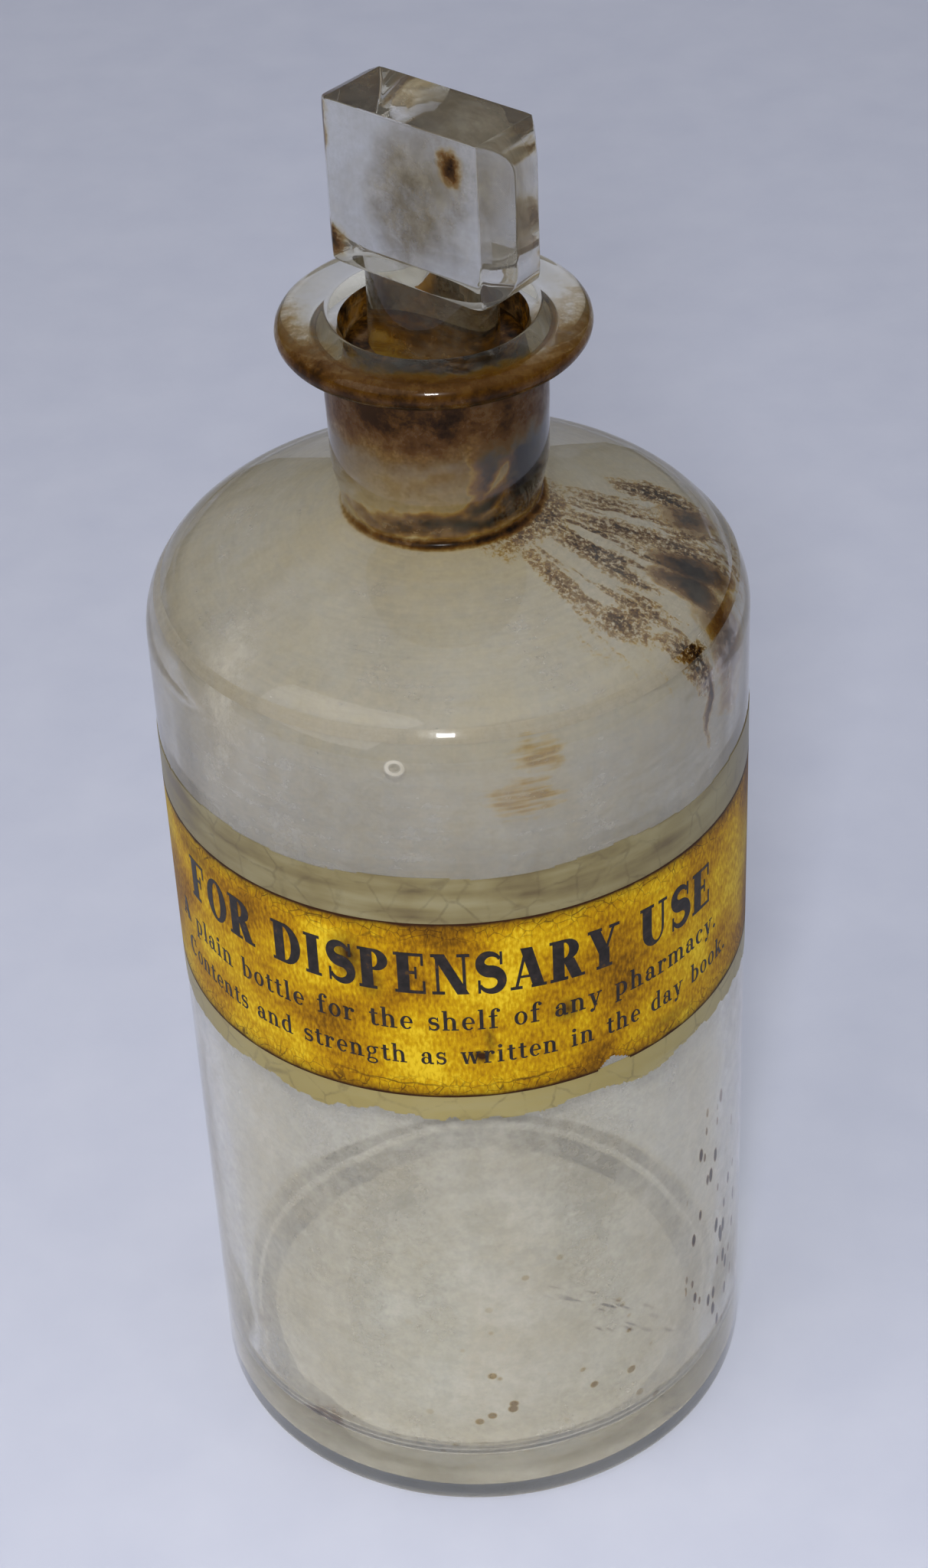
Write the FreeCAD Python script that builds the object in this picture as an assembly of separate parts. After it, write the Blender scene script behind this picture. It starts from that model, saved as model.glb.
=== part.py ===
"""Ground-glass stoppered pharmacy bottle (a "shop round") of 20 fluid ounces, in millimetres.

Frame: +Z up along the bottle's axis, origin at the centre of the base on the surface it stands on.
The middle of the paper label faces -Y. Every piece is one closed solid in its own node:
  bottle         blown and tooled clear glass: base with a push-up, body, shoulder, neck and flanged lip
  stopper        pressed and cut glass: flat tablet head, waist and ground conical plug
  paper_label    varnished paper, pasted round the front of the body
  label_varnish  the varnish brushed over the paper, where it lies on the glass past the paper's edges
"""

import FreeCAD
import Part
import math
import os

# ---- driving dimensions -------------------------------------------------------------------------
body_diameter = 82.0
wall = 2.8
lip_height = 183.2
joint_taper = 0.05  # the ground joint narrows by this much radius for each millimetre of depth
joint_gap = 0.05  # radial room between the ground plug and the ground neck

# ---- bottle -------------------------------------------------------------------------------------
body_radius = body_diameter / 2
inner_radius = body_radius - wall
heel_round = 1.8
foot_inner_radius = 0.80 * body_radius  # the ring that the bottle stands on starts here
push_up_height = 2.4
push_up_radius = 0.54 * body_radius
floor_height = 7.0  # inside floor, at the wall
floor_rise = 1.4  # and how much higher it is in the middle, over the push-up
floor_round = 5.0

shoulder_slope = math.tan(math.radians(20.3))
shoulder_round = 0.26 * body_radius
neck_foot_radius = 0.318 * body_radius
neck_foot_height = 155.4
neck_radius = 0.352 * body_radius
neck_barrel_height = neck_foot_height + 6.0
neck_top_radius = 0.360 * body_radius
neck_foot_round = 0.9

lip_radius = 0.498 * body_radius
lip_thickness = 4.4
lip_underside_height = lip_height - lip_thickness
lip_fall = 0.5  # the lip's top falls this much from the mouth to the rim
lip_edge_round = 1.9
lip_root_round = 1.3
mouth_round = 1.6

joint_top_height = 181.4  # where the ground surface starts, just inside the mouth
joint_top_radius = 12.1
joint_length = 25.0
joint_bottom_height = joint_top_height - joint_length
joint_bottom_radius = joint_top_radius - joint_taper * joint_length

# ---- stopper ------------------------------------------------------------------------------------
plug_top_height = 178.6
plug_length = 19.8
plug_top_round = 1.4
plug_tip_round = 1.0
head_width = 30.8
head_thickness = 10.9
head_height = 22.4
head_bottom_height = 188.4
head_edge_cut = 2.6  # the cut facets along the four upright edges
head_top_round = 4.1
head_bottom_round = 5.0
head_turn = -41.0  # degrees: how the flat of the head happens to stand, from +X
head_offset = 0.6  # the head was pressed this much off the plug's axis
waist_foot_radius = 8.6
waist_top_half_width = 10.4
waist_top_half_thickness = 4.9
waist_inset = 1.2  # how far the waist runs into the plug and into the head

# ---- label --------------------------------------------------------------------------------------
label_length = 127.0
label_height = 31.3
label_bottom_height = 83.9
paper_thickness = 0.18  # with the varnish that soaked into it and dried on its face
varnish_thickness = 0.20  # on the glass beside the paper, where it was brushed thickest
varnish_above = 7.6
varnish_below = 5.4
varnish_past_ends = 4.0


def corner_round(before, corner, after, radius):
    """Start, middle and end of the arc that rounds the corner between two straight runs."""
    to_before = (before - corner).normalize()
    to_after = (after - corner).normalize()
    half_turn = math.acos(max(-1.0, min(1.0, to_before.dot(to_after)))) / 2
    reach = radius / math.tan(half_turn)
    middle_line = (to_before + to_after).normalize()
    to_middle = radius / math.sin(half_turn) - radius
    return corner + to_before * reach, corner + middle_line * to_middle, corner + to_after * reach


def outline_wire(corners):
    """Closed wire in the XZ plane through (x, z, rounding radius) corners, rounded by tangent arcs."""
    points = [FreeCAD.Vector(x, 0, z) for x, z, _ in corners]
    rounds = []
    for i, (point, (_, _, radius)) in enumerate(zip(points, corners)):
        if radius > 0:
            rounds.append(corner_round(points[i - 1], point, points[(i + 1) % len(points)], radius))
        else:
            rounds.append((point, None, point))
    edges = []
    for i, (enter, middle, leave) in enumerate(rounds):
        if middle is not None:
            edges.append(Part.Arc(enter, middle, leave).toShape())
        following = rounds[(i + 1) % len(rounds)][0]
        if leave.distanceToPoint(following) > 1e-6:
            edges.append(Part.LineSegment(leave, following).toShape())
    return Part.Wire(edges)


def turned(corners):
    """The solid of revolution about Z of an outline that starts and ends on the axis."""
    return Part.Face(outline_wire(corners)).revolve(FreeCAD.Vector(0, 0, 0), FreeCAD.Vector(0, 0, 1), 360)


def shoulder_height(radius):
    """Height of the outer shoulder cone at a radius."""
    return neck_foot_height + (neck_foot_radius - radius) * shoulder_slope


def make_bottle():
    wall_down = wall * math.sqrt(1 + shoulder_slope**2)  # the wall's thickness, measured straight down
    outside = [
        (0, push_up_height, 0),
        (push_up_radius, push_up_height, 12.0),
        (foot_inner_radius, 0, 1.6),
        (body_radius, 0, heel_round),
        (body_radius, shoulder_height(body_radius), shoulder_round),
        (neck_foot_radius, neck_foot_height, neck_foot_round),
        (neck_radius, neck_barrel_height, 7.0),
        (neck_top_radius, lip_underside_height, lip_root_round),
        (lip_radius, lip_underside_height + 0.2, lip_edge_round),
        (lip_radius, lip_height - lip_fall, lip_edge_round),
        (joint_top_radius + mouth_round, lip_height, 0.8),
    ]
    inside = [
        (joint_top_radius, joint_top_height, 0.8),
        (joint_bottom_radius, joint_bottom_height, 3.0),
        (joint_bottom_radius, shoulder_height(joint_bottom_radius) - wall_down, 1.8),
        (inner_radius, shoulder_height(inner_radius) - wall_down, shoulder_round - wall),
        (inner_radius, floor_height, floor_round),
        (push_up_radius, floor_height + floor_rise, 14.0),
        (0, floor_height + floor_rise, 0),
    ]
    return turned(outside + inside)


def plug_radius(height):
    """Radius of the ground plug at a height, a gap inside the ground neck."""
    return joint_top_radius - joint_gap - joint_taper * (joint_top_height - height)


def make_plug():
    bottom = plug_top_height - plug_length
    return turned(
        [
            (0, bottom, 0),
            (plug_radius(bottom), bottom, plug_tip_round),
            (plug_radius(plug_top_height), plug_top_height, plug_top_round),
            (0, plug_top_height, 0),
        ]
    )


def make_head():
    """A tablet: a plan with its upright edges cut off, and an elevation with rounded corners."""
    half_width = head_width / 2
    half_thickness = head_thickness / 2
    cut = head_edge_cut
    plan = [
        (half_width, half_thickness - cut),
        (half_width - cut, half_thickness),
        (cut - half_width, half_thickness),
        (-half_width, half_thickness - cut),
        (-half_width, cut - half_thickness),
        (cut - half_width, -half_thickness),
        (half_width - cut, -half_thickness),
        (half_width, cut - half_thickness),
    ]
    plan_points = [FreeCAD.Vector(x, y, head_bottom_height) for x, y in plan]
    plan_wire = Part.makePolygon(plan_points + plan_points[:1])
    prism = Part.Face(plan_wire).extrude(FreeCAD.Vector(0, 0, head_height))
    top = head_bottom_height + head_height
    elevation = outline_wire(
        [
            (-half_width, head_bottom_height, head_bottom_round),
            (half_width, head_bottom_height, head_bottom_round),
            (half_width, top, head_top_round),
            (-half_width, top, head_top_round),
        ]
    )
    tablet = Part.Face(elevation).extrude(FreeCAD.Vector(0, head_thickness, 0))
    tablet.translate(FreeCAD.Vector(0, -half_thickness, 0))
    head = prism.common(tablet)
    head.translate(FreeCAD.Vector(head_offset, 0, 0))
    return head


def make_waist():
    """Blends the round plug into the flat head."""
    foot = Part.Circle(
        FreeCAD.Vector(0, 0, plug_top_height - waist_inset), FreeCAD.Vector(0, 0, 1), waist_foot_radius
    )
    top = Part.Ellipse(
        FreeCAD.Vector(0, 0, head_bottom_height + waist_inset), waist_top_half_width, waist_top_half_thickness
    )
    return Part.makeLoft([Part.Wire(foot.toShape()), Part.Wire(top.toShape())], True)


def make_stopper():
    stopper = make_plug().fuse([make_waist(), make_head()]).removeSplitter()
    stopper.rotate(FreeCAD.Vector(0, 0, 0), FreeCAD.Vector(0, 0, 1), head_turn)
    return stopper


def front_film(bottom, height, length, thickness):
    """A thin film on the body, of that length round its front."""
    angle = math.degrees(length / body_radius)
    low = FreeCAD.Vector(0, 0, bottom)
    up = FreeCAD.Vector(0, 0, 1)
    outer = Part.makeCylinder(body_radius + thickness, height, low, up, angle)
    film = outer.cut(Part.makeCylinder(body_radius, height, low, up))
    film.rotate(FreeCAD.Vector(0, 0, 0), up, -90 - angle / 2)
    return film


def make_paper_label():
    return front_film(label_bottom_height, label_height, label_length, paper_thickness)


def make_label_varnish():
    """The coat on the glass all round the paper, which fills a window in it."""
    coat = front_film(
        label_bottom_height - varnish_below,
        varnish_below + label_height + varnish_above,
        label_length + 2 * varnish_past_ends,
        varnish_thickness,
    )
    return coat.cut(front_film(label_bottom_height, label_height, label_length, 2 * varnish_thickness))


def write(name, shape):
    """One STEP file for a node, after a check that each solid in it is closed and valid."""
    for solid in shape.Solids:
        assert solid.isValid() and solid.Volume > 0, name
    shape.exportStep(os.path.join("parts", name + ".step"))
    box = shape.BoundBox
    print(f"{name}: {len(shape.Solids)} solid, {shape.Volume:.0f} mm3, z {box.ZMin:.2f} to {box.ZMax:.2f}")


os.makedirs("parts", exist_ok=True)
write("bottle", make_bottle())
write("stopper", make_stopper())
write("paper_label", make_paper_label())
write("label_varnish", make_label_varnish())
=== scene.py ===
"""A ground-glass stoppered pharmacy bottle, stained with old syrup, on a pale table top."""

import bmesh
import bpy
import math
import random
from mathutils import Matrix, Vector


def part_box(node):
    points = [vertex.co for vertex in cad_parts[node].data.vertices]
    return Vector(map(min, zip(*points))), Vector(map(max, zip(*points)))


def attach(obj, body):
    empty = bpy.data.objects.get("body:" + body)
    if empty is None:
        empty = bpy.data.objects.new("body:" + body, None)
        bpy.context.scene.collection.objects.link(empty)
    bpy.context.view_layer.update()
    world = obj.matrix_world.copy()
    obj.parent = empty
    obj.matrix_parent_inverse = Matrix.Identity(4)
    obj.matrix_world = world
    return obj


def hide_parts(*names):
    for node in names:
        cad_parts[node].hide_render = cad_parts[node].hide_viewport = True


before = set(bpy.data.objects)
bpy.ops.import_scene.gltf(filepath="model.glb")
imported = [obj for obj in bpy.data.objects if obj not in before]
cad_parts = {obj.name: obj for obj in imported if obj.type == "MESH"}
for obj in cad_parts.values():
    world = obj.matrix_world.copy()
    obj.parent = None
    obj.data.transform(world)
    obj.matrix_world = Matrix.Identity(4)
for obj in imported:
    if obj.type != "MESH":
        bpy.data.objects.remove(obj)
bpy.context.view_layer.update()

MM = 0.001


# ---- table top, camera and lights ---------------------------------------------------------------
# The bottle stands on a matt white laminate table. A flash close to the camera lights it hard and leaves
# pinpoint glints on the glass, a large soft lamp fills from the front left, and a pale room does the rest.

def linear(hex_colour):
    """The linear colour of an sRGB hex value."""
    channels = [int(hex_colour[i:i + 2], 16) / 255 for i in (1, 3, 5)]
    return [c / 12.92 if c <= 0.04045 else ((c + 0.055) / 1.055) ** 2.4 for c in channels] + [1.0]


def add_node(tree, kind, inputs=None, **settings):
    """A new shader node with its settings, and with each input set to a value or linked to an output."""
    node = tree.nodes.new("ShaderNode" + kind)
    for name, value in settings.items():
        setattr(node, name, value)
    for name, value in (inputs or {}).items():
        if isinstance(value, bpy.types.NodeSocket):
            tree.links.new(value, node.inputs[name])
        else:
            node.inputs[name].default_value = value
    return node


def new_material(name):
    """An empty node material and its shader."""
    material = bpy.data.materials.new(name)
    material.use_nodes = True
    return material, material.node_tree, material.node_tree.nodes["Principled BSDF"]


def aim(thing, target):
    """Turns a lamp so that it faces a point."""
    thing.rotation_euler = (Vector(target) - thing.location).to_track_quat("-Z", "Y").to_euler()


def add_soft_lamp(name, place, target, size, watts, colour):
    lamp = bpy.data.lights.new(name, "AREA")
    lamp.shape = "RECTANGLE"
    lamp.size, lamp.size_y = size
    lamp.energy = watts
    lamp.color = linear(colour)[:3]
    holder = bpy.data.objects.new(name, lamp)
    bpy.context.collection.objects.link(holder)
    holder.location = place
    aim(holder, target)


def make_table():
    bpy.ops.object.select_all(action="DESELECT")
    bpy.ops.mesh.primitive_plane_add(size=40.0, location=(0, 0, 0))
    table = bpy.context.object
    table.name = "table_top"
    material, tree, shader = new_material("white laminate, matt")
    # a fine mottle keeps the laminate from looking painted
    place = add_node(tree, "TexCoord").outputs["Object"]
    mottle = add_node(tree, "TexNoise", {"Vector": place, "Scale": 60.0, "Detail": 4.0})
    tone = add_node(tree, "Mix", {"Factor": mottle.outputs["Fac"]}, data_type="RGBA")
    tone.inputs[6].default_value = linear("#CBD0E4")
    tone.inputs[7].default_value = linear("#D9DDEE")
    tree.links.new(tone.outputs[2], shader.inputs["Base Color"])
    shader.inputs["Roughness"].default_value = 0.55
    table.data.materials.append(material)


def make_camera():
    camera_data = bpy.data.cameras.new("camera")
    camera_data.sensor_width = 36.0
    camera_data.lens = 72.3
    camera_data.clip_start = 0.01
    camera = bpy.data.objects.new("camera", camera_data)
    bpy.context.collection.objects.link(camera)
    tilt = Matrix.Rotation(math.radians(90 - 37.43), 4, "X")
    lean = Matrix.Rotation(math.radians(-2.8), 4, "Z")
    swing = Matrix.Rotation(math.radians(-0.16), 4, "Z")
    camera.matrix_world = Matrix.Translation((0, -0.355, 0.378)) @ swing @ tilt @ lean
    bpy.context.scene.camera = camera
    bpy.context.scene.view_settings.view_transform = "Standard"


def light_room():
    world = bpy.data.worlds.new("pale room")
    world.use_nodes = True
    bpy.context.scene.world = world
    tree = world.node_tree
    back = tree.nodes["Background"]
    direction = add_node(tree, "TexCoord").outputs["Generated"]
    height = add_node(tree, "SeparateXYZ", {"Vector": direction}).outputs["Z"]
    shade = add_node(tree, "ValToRGB", {"Fac": height})
    shade.color_ramp.elements[0].position = 0.0
    shade.color_ramp.elements[0].color = linear("#6E6A64")
    shade.color_ramp.elements[1].position = 0.8
    shade.color_ramp.elements[1].color = linear("#F2F4FA")
    tree.links.new(shade.outputs["Color"], back.inputs["Color"])
    back.inputs["Strength"].default_value = 0.57
    add_soft_lamp("window", (-0.70, -0.55, 0.80), (0, 0, 0.1), (0.9, 0.9), 3.0, "#FFF8F0")
    add_soft_lamp("flash", (-0.03, -0.42, 0.42), (0, 0, 0.10), (0.07, 0.07), 1.7, "#FFFFFF")


make_table()
make_camera()
light_room()


# ---- bottle -------------------------------------------------------------------------------------
# Clear soda-lime glass, mould-blown, with a tooled flange lip and a ground neck. It is one piece, so it is
# turned from one outline. The blown inside wall waves a little, and old syrup and dust dull it.
# The film inside is painted light low on the wall and painted shade from the upper wall up.

def pick(piece):
    """Makes a piece the only one selected, and the active one."""
    bpy.ops.object.select_all(action="DESELECT")
    bpy.context.view_layer.objects.active = piece
    piece.select_set(True)


def edit_mode():
    bpy.ops.object.mode_set(mode="EDIT")


def object_mode():
    bpy.ops.object.mode_set(mode="OBJECT")


def choose(piece, parts, wanted):
    """Selects the verts, edges or faces of a piece in edit mode that a test picks."""
    mesh = bmesh.from_edit_mesh(piece.data)
    for part in getattr(mesh, parts):
        part.select_set(wanted(part))
    if parts == "verts":
        mesh.select_flush(True)
    bmesh.update_edit_mesh(piece.data)


def modify(piece, kind, **settings):
    """Gives a piece a modifier with its settings, and applies it."""
    pick(piece)
    bpy.ops.object.modifier_add(type=kind)
    modifier = piece.modifiers[-1]
    for name, value in settings.items():
        setattr(modifier, name, value)
    bpy.ops.object.modifier_apply(modifier=modifier.name)


def start_outline(name, first):
    """A mesh of one point, in edit mode, ready to be extruded along an outline."""
    bpy.ops.object.select_all(action="DESELECT")
    bpy.ops.mesh.primitive_plane_add(size=MM)
    piece = bpy.context.object
    piece.name = piece.data.name = name
    edit_mode()
    bpy.ops.mesh.select_all(action="SELECT")
    bpy.ops.mesh.merge(type="CENTER")
    bpy.ops.transform.translate(value=(first[0] * MM, 0, first[1] * MM))
    return piece


def corner_reach(before, corner, after, radius):
    """How far from a corner its rounding of that radius starts."""
    back = Vector((before[0] - corner[0], before[1] - corner[1])).normalized()
    on = Vector((after[0] - corner[0], after[1] - corner[1])).normalized()
    return radius / math.tan(back.angle(on) / 2)


def turn_on_lathe(name, corners, steps):
    """A solid turned about Z from (radius, height, rounding) corners in mm that start and end on the axis."""
    piece = start_outline(name, corners[0])
    for before, after in zip(corners, corners[1:]):
        move = ((after[0] - before[0]) * MM, 0, (after[1] - before[1]) * MM)
        bpy.ops.mesh.extrude_region_move(TRANSFORM_OT_translate={"value": move})
    for before, corner, after in zip(corners, corners[1:], corners[2:]):
        if corner[2] > 0:
            place = Vector((corner[0] * MM, 0, corner[1] * MM))
            choose(piece, "verts", lambda vertex: (vertex.co - place).length < 1e-6)
            reach = corner_reach(before, corner, after, corner[2])
            segments = max(4, min(14, round(corner[2] * 1.6)))
            bpy.ops.mesh.bevel(
                offset=reach * MM, offset_type="OFFSET", segments=segments, affect="VERTICES")
    choose(piece, "edges", lambda edge: edge.calc_length() > 5 * MM)
    bpy.ops.mesh.subdivide(number_cuts=6)
    bpy.ops.mesh.select_all(action="SELECT")
    bpy.ops.mesh.spin(steps=steps, angle=2 * math.pi, center=(0, 0, 0), axis=(0, 0, 1))
    bpy.ops.mesh.select_all(action="SELECT")
    bpy.ops.mesh.remove_doubles(threshold=0.00002)
    bpy.ops.mesh.normals_make_consistent(inside=False)
    object_mode()
    bpy.ops.object.shade_smooth_by_angle(angle=math.radians(50))
    return piece


bottle_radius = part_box("bottle")[1][0] / MM
lip_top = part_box("bottle")[1][2] / MM
lip_radius = 20.42
bore_top_radius, bore_top_height = 12.1, 181.4
bore_foot_radius, bore_foot_height = 10.85, 156.4
neck_foot_radius, neck_foot_height = 13.04, 155.4
shoulder_slope = math.radians(20.3)
wall_inside_radius = bottle_radius - 2.8
push_up_radius = 0.54 * bottle_radius
inside_floor_height = 8.4

outside_corners = [
    (0, 2.4, 0),
    (push_up_radius, 2.4, 12.0),
    (0.80 * bottle_radius, 0, 1.6),
    (bottle_radius, 0, 1.8),
    (bottle_radius, 145.06, 10.66),
    (neck_foot_radius, neck_foot_height, 0.9),
    (14.43, neck_foot_height + 6, 7.0),
    (14.76, lip_top - 4.4, 1.3),
    (lip_radius, lip_top - 4.2, 1.9),
    (lip_radius, lip_top - 0.5, 1.9),
    (bore_top_radius + 1.6, lip_top, 0.8),
]
inside_corners = [
    (bore_top_radius, bore_top_height, 0.8),
    (bore_foot_radius, bore_foot_height, 3.0),
    (bore_foot_radius, 153.22, 1.8),
    (wall_inside_radius, 143.1, 7.86),
    (wall_inside_radius, 7.0, 5.0),
    (push_up_radius, inside_floor_height, 14.0),
    (0, inside_floor_height, 0),
]
bottle = turn_on_lathe("glass_bottle", outside_corners + inside_corners, 160)


def is_inside(place):
    """True for a point of the bottle's inside wall, given in metres."""
    radius = math.hypot(place.x, place.y) / MM
    height = place.z / MM
    if radius > bottle_radius - 1.4 or height < 5.0:
        return False
    if height > 154.0:
        return radius < 12.6
    shoulder = neck_foot_height + (neck_foot_radius - radius) * math.tan(shoulder_slope)
    return height < shoulder - 1.5


def wave_inside_wall(piece):
    """Old blown glass is uneven inside: the wall's thickness wanders by a few tenths of a millimetre."""
    group = piece.vertex_groups.new(name="blown wall")
    inner = [v.index for v in piece.data.vertices if is_inside(v.co) and v.co.z < 150 * MM]
    group.add(inner, 1.0, "REPLACE")
    ripple = bpy.data.textures.new("blown ripple", "CLOUDS")
    ripple.noise_scale = 0.022
    modify(piece, "DISPLACE", texture=ripple, texture_coords="LOCAL", strength=0.7 * MM,
           mid_level=0.5, vertex_group="blown wall")


wave_inside_wall(bottle)


def round_the_bottle(tree):
    """Where a point lies round and down the glass: X in tens of degrees from the front, Y in centimetres of
    height less radius, which falls all the way from the neck to the heel."""
    parts = add_node(tree, "SeparateXYZ", {
        "Vector": add_node(tree, "TexCoord").outputs["Object"]})
    front = add_node(tree, "Math", {0: parts.outputs["Y"], 1: -1.0}, operation="MULTIPLY")
    turn = add_node(tree, "Math", {0: parts.outputs["X"], 1: front.outputs[0]}, operation="ARCTAN2")
    tens = add_node(tree, "Math", {0: turn.outputs[0], 1: 18 / math.pi}, operation="MULTIPLY")
    flat = add_node(tree, "CombineXYZ", {"X": parts.outputs["X"], "Y": parts.outputs["Y"]})
    radius = add_node(tree, "VectorMath", {0: flat.outputs[0]}, operation="LENGTH")
    fall = add_node(tree, "Math", {
        0: parts.outputs["Z"], 1: radius.outputs["Value"]}, operation="SUBTRACT")
    down = add_node(tree, "Math", {0: fall.outputs[0], 1: 100.0}, operation="MULTIPLY")
    return add_node(tree, "CombineXYZ", {"X": tens.outputs[0], "Y": down.outputs[0]}).outputs[0]


def height_up(tree):
    """A point's height above the table, in metres."""
    here = add_node(tree, "TexCoord").outputs["Object"]
    return add_node(tree, "SeparateXYZ", {"Vector": here}).outputs["Z"]


def ragged(tree, place, grain, reach):
    """The same place, pushed about by noise of a size in mm, so that what is drawn there has ragged edges."""
    here = add_node(tree, "TexCoord").outputs["Object"]
    noise = add_node(tree, "TexNoise", {
        "Vector": here, "Scale": 1 / (grain * MM), "Detail": 3.0})
    push = add_node(tree, "VectorMath", {
        0: noise.outputs["Color"], 1: (0.5, 0.5, 0.5)}, operation="SUBTRACT")
    return add_node(tree, "VectorMath", {
        0: push.outputs[0], 1: reach, 2: place}, operation="MULTIPLY_ADD").outputs[0]


def blot(tree, place, centre, half_size, turn, strength):
    """A round or long blot: strength in its middle, falling to nothing at its half size."""
    laid = add_node(tree, "Mapping", {
        "Vector": place, "Location": (*centre, 0) if len(centre) == 2 else centre,
        "Rotation": (0, 0, math.radians(turn)),
        "Scale": (*half_size, 1) if len(half_size) == 2 else half_size}, vector_type="TEXTURE")
    ball = add_node(tree, "TexGradient", {"Vector": laid.outputs[0]}, gradient_type="SPHERICAL")
    return scaled_by(tree, ball.outputs["Fac"], strength)


def run(tree, place, start, end, width, strength):
    """A long blot from one point to another."""
    start, end = Vector(start), Vector(end)
    way = end - start
    return blot(tree, place, tuple((start + end) / 2), (way.length * 0.62, width),
                math.degrees(math.atan2(way.y, way.x)), strength)


def streaky(tree, place, scale, detail):
    """Noise drawn out by a scale along each axis."""
    drawn = add_node(tree, "Mapping", {"Vector": place, "Scale": scale})
    return add_node(tree, "TexNoise", {
        "Vector": drawn.outputs[0], "Scale": 1.0, "Detail": detail}).outputs["Fac"]


def thickest(tree, layers):
    """The largest of several layers at each point."""
    top = layers[0]
    for layer in layers[1:]:
        top = add_node(tree, "Math", {0: top, 1: layer}, operation="MAXIMUM").outputs[0]
    return top


def blots(tree, place, rows):
    """The thickest of several blots, each given by its centre, half size, turn and strength."""
    return thickest(tree, [blot(tree, place, *row) for row in rows])


def runs(tree, place, rows):
    """The thickest of several long blots, each given by its two ends, width and strength."""
    return thickest(tree, [run(tree, place, *row) for row in rows])


def scaled_by(tree, layer, other):
    """One layer thinned or thickened by another, or by a number."""
    return add_node(tree, "Math", {0: layer, 1: other}, operation="MULTIPLY").outputs[0]


def crumbs(tree, grain, low, high):
    """Noise of a size in mm, between two levels, that breaks a stain up into crumbs and gaps."""
    here = add_node(tree, "TexCoord").outputs["Object"]
    noise = add_node(tree, "TexNoise", {
        "Vector": here, "Scale": 1 / (grain * MM), "Detail": 7.0, "Roughness": 0.75})
    return add_node(tree, "MapRange", {
        "Value": noise.outputs["Fac"], "From Min": 0.40, "From Max": 0.60,
        "To Min": low, "To Max": high}).outputs[0]


def ramp(tree, value, stops):
    """A colour or grey that follows a value through (position, colour) stops."""
    node = add_node(tree, "ValToRGB", {"Fac": value})
    elements = node.color_ramp.elements
    while len(elements) < len(stops):
        elements.new(0.5)
    for element, (position, colour) in zip(elements, stops):
        element.position = position
        element.color = linear(colour) if isinstance(colour, str) else (colour, colour, colour, 1)
    return node.outputs["Color"]


def mixed(tree, share, under, over):
    """One colour over another, by a share."""
    node = add_node(tree, "Mix", {"Factor": share}, data_type="RGBA")
    for index, colour in ((6, under), (7, over)):
        if isinstance(colour, bpy.types.NodeSocket):
            tree.links.new(colour, node.inputs[index])
        else:
            node.inputs[index].default_value = linear(colour)
    return node.outputs[2]


def clouded(tree, grain, dark, light):
    """Two colours run together in clouds of a size in mm."""
    return mixed(tree, crumbs(tree, grain, 0.0, 1.0), dark, light)


def dirty_glass(name, clear, film_colour, haze, syrup, ripple):
    """Clear glass under a dull film, under dried syrup: a clear amber stain where thin, and a crust that goes
    to near black where thick. The deposits let some light through, so they glow where lit from behind."""
    material, tree, glass = new_material(name)
    film, syrup_thickness = haze(tree), syrup(tree)
    syrup_cover = ramp(tree, syrup_thickness, [(0.12, 0.0), (0.28, 0.55), (0.50, 0.90), (0.8, 1.0)])
    syrup_colour = ramp(tree, syrup_thickness, [
        (0.12, "#AC8E38"), (0.26, "#805A16"), (0.40, "#623F0E"), (0.58, "#3C250A"), (0.85, "#180F08")])
    stain = mixed(tree, ramp(tree, syrup_thickness, [(0.04, 0.0), (0.26, 1.0)]), clear, ramp(
        tree, syrup_thickness, [(0.15, "#DAC684"), (0.45, "#8E6A30")]))
    place = add_node(tree, "TexCoord").outputs["Object"]
    stained = ramp(tree, syrup_thickness, [(0.08, 0.0), (0.18, 1.0)])
    deposit = mixed(tree, stained, film_colour(tree), syrup_colour)
    cover = add_node(tree, "Math", {0: film, 1: syrup_cover}, operation="MAXIMUM")
    waves = add_node(tree, "TexNoise", {"Vector": place, "Scale": 1 / (ripple * MM), "Detail": 1.5})
    relief = add_node(tree, "Bump", {
        "Height": waves.outputs["Fac"], "Strength": 0.12, "Distance": 0.4 * MM})
    tree.links.new(stain, glass.inputs["Base Color"])
    glass.inputs["Transmission Weight"].default_value = 1.0
    glass.inputs["Roughness"].default_value = 0.015
    glass.inputs["IOR"].default_value = 1.52
    tree.links.new(relief.outputs[0], glass.inputs["Normal"])
    # lamps shine through the clear glass as well as the room does
    shining = add_node(tree, "LightPath")
    gap = add_node(tree, "BsdfTransparent", {"Color": linear("#EDEDE6")})
    clear_glass = add_node(tree, "MixShader", {
        0: shining.outputs["Is Shadow Ray"], 1: glass.outputs[0], 2: gap.outputs[0]})
    back = add_node(tree, "BsdfPrincipled", {
        "Base Color": deposit, "Roughness": 0.22, "Specular IOR Level": 0.12})
    forth = add_node(tree, "BsdfTranslucent", {"Color": deposit})
    crust = add_node(tree, "MixShader", {0: 0.45, 1: back.outputs[0], 2: forth.outputs[0]})
    both = add_node(tree, "MixShader", {
        0: cover.outputs[0], 1: clear_glass.outputs[0], 2: crust.outputs[0]})
    tree.links.new(both.outputs[0], tree.nodes["Material Output"].inputs["Surface"])
    return material


def outside_film(tree):
    return clouded(tree, 14, "#CBC5B6", "#E6E2D8")


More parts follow.
